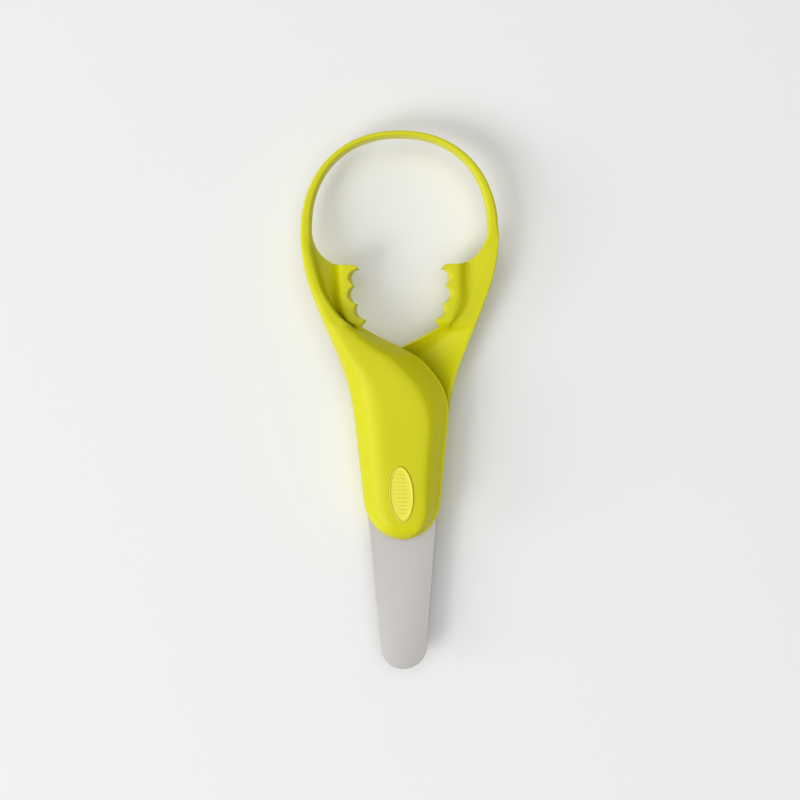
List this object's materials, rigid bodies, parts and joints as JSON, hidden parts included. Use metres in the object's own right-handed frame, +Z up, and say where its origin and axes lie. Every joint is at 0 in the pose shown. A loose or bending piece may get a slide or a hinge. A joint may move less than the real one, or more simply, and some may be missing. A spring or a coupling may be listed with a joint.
{
  "type": "avocado tool with squeeze jaws, loop and blade",
  "caption": "Hand tool with two crossed nylon arms that squeeze toothed jaws inside a springy oval loop, and a flat round-ended blade out of the handle's end.",
  "frame": {"origin": "centre of the tool's outline, on the surface that it lies on", "axes": "+X across the tool, +Y along it towards the loop, +Z up, out of the front cover"},
  "size_m": [0.0866, 0.235, 0.0255],
  "materials": {
    "lime_nylon": "satin, fine moulded texture",
    "badge_lime": "semi-gloss",
    "blade_steel": "satin, brushed along its length",
    "screw_steel": "turned",
    "insert_brass": "machined",
    "washer_acetal": "smooth"
  },
  "bodies": {
    "rear_body": {"rear_half": "lime_nylon", "loop_right": "lime_nylon", "blade": "blade_steel", "pivot_screw": "screw_steel", "pivot_insert": "insert_brass", "pivot_washer": "washer_acetal", "blade_screw_upper": "screw_steel", "blade_screw_lower": "screw_steel", "stop_pin": "screw_steel"},
    "front_body": {"front_half": "lime_nylon", "loop_left": "lime_nylon", "badge": "badge_lime", "head_washer": "washer_acetal"}
  },
  "joints": [
    {"name": "squeeze", "type": "hinge", "parent": "rear_body", "child": "front_body", "pos_m": [0, -0.041, 0.0125], "axis": [0, 0, -1], "range_deg": [0, 8], "stiffness_Nm_per_rad": 4}
  ]
}
